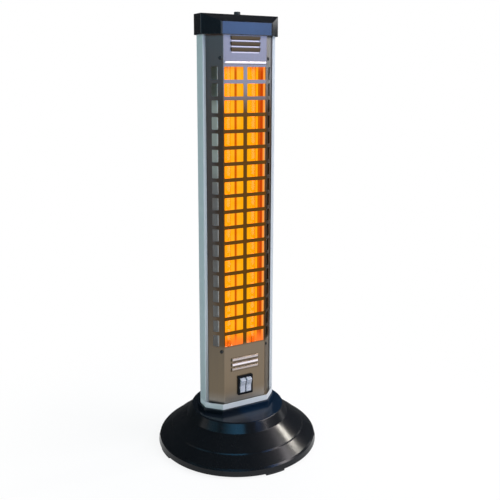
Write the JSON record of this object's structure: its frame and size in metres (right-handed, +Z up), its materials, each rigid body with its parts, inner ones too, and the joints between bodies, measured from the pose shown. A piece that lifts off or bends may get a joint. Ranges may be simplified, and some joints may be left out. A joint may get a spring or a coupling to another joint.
{
  "type": "vertical quartz heater",
  "caption": "Free-standing tower heater: windowed steel column with quartz tubes and a reflector, moulded cap, round stepped base, double rocker switch.",
  "frame": {"origin": "centre of the round base, on the surface that the heater stands on", "axes": "+Z up along the column, the windowed front faces -Y, +X to the right as seen from the front"},
  "size_m": [0.2666, 0.2666, 0.703],
  "materials": {
    "base_plastic": "semi-gloss black moulding",
    "cap_plastic": "glossy black moulding",
    "foot_rubber": "matt black rubber",
    "white_paint": "smooth white paint on steel",
    "stainless": "fine brushed stainless steel",
    "reflector_metal": "polished aluminium",
    "zinc_steel": "zinc-plated steel",
    "quartz": "clear quartz",
    "element_wire": "resistance wire, glowing when on",
    "ceramic": "unglazed cream ceramic",
    "brass": "plain brass",
    "black_steel": "blackened steel",
    "switch_plastic": "black plastic",
    "rocker_plastic": "pale smooth plastic",
    "wire_cover": "silicone sleeve"
  },
  "bodies": {
    "heater": {"back_shell": "white_paint", "base_screw_back_left": "zinc_steel", "base_screw_back_right": "zinc_steel", "base_screw_front_left": "zinc_steel", "base_screw_front_right": "zinc_steel", "base_shell": "base_plastic", "bottom_tray": "white_paint", "cable_gland": "switch_plastic", "cap_nut": "black_steel", "cap_strap": "zinc_steel", "cap_stud": "zinc_steel", "cover_screw_bottom_left": "black_steel", "cover_screw_bottom_right": "black_steel", "cover_screw_top_left": "black_steel", "cover_screw_top_right": "black_steel", "earth_stud": "brass", "end_cap_left_bottom": "ceramic", "end_cap_left_top": "ceramic", "end_cap_right_bottom": "ceramic", "end_cap_right_top": "ceramic", "foot_back": "foot_rubber", "foot_front": "foot_rubber", "foot_left": "foot_rubber", "foot_right": "foot_rubber", "front_cover": "stainless", "gland_nut": "switch_plastic", "heating_coil_left": "element_wire", "heating_coil_right": "element_wire", "plate_screw_bottom_left": "zinc_steel", "plate_screw_bottom_right": "zinc_steel", "plate_screw_top_left": "zinc_steel", "plate_screw_top_right": "zinc_steel", "quartz_tube_left": "quartz", "quartz_tube_right": "quartz", "reflector": "reflector_metal", "rocker_pin": "zinc_steel", "switch_housing": "switch_plastic", "terminal_block": "ceramic", "terminal_left_bottom": "brass", "terminal_left_top": "brass", "terminal_right_bottom": "brass", "terminal_right_top": "brass", "tilt_switch": "switch_plastic", "top_cap": "cap_plastic", "top_rivet_left": "zinc_steel", "top_rivet_right": "zinc_steel", "tray_screw_back_left": "zinc_steel", "tray_screw_back_right": "zinc_steel", "tube_plate_bottom": "zinc_steel", "tube_plate_top": "zinc_steel", "wire_block_to_tilt": "wire_cover", "wire_earth": "wire_cover", "wire_element_left": "wire_cover", "wire_element_right": "wire_cover", "wire_jumper": "wire_cover", "wire_return": "wire_cover", "wire_tilt_to_switch": "wire_cover"},
    "rocker_left": {"rocker_left": "rocker_plastic"},
    "rocker_right": {"rocker_right": "rocker_plastic"}
  },
  "joints": [
    {"name": "rocker_left_press", "type": "hinge", "parent": "heater", "child": "rocker_left", "pos_m": [-0.00555, -0.0271, 0.105], "axis": [-1, 0, 0], "range_deg": [0, 20]},
    {"name": "rocker_right_press", "type": "hinge", "parent": "heater", "child": "rocker_right", "pos_m": [0.00555, -0.0271, 0.105], "axis": [-1, 0, 0], "range_deg": [0, 20]}
  ]
}
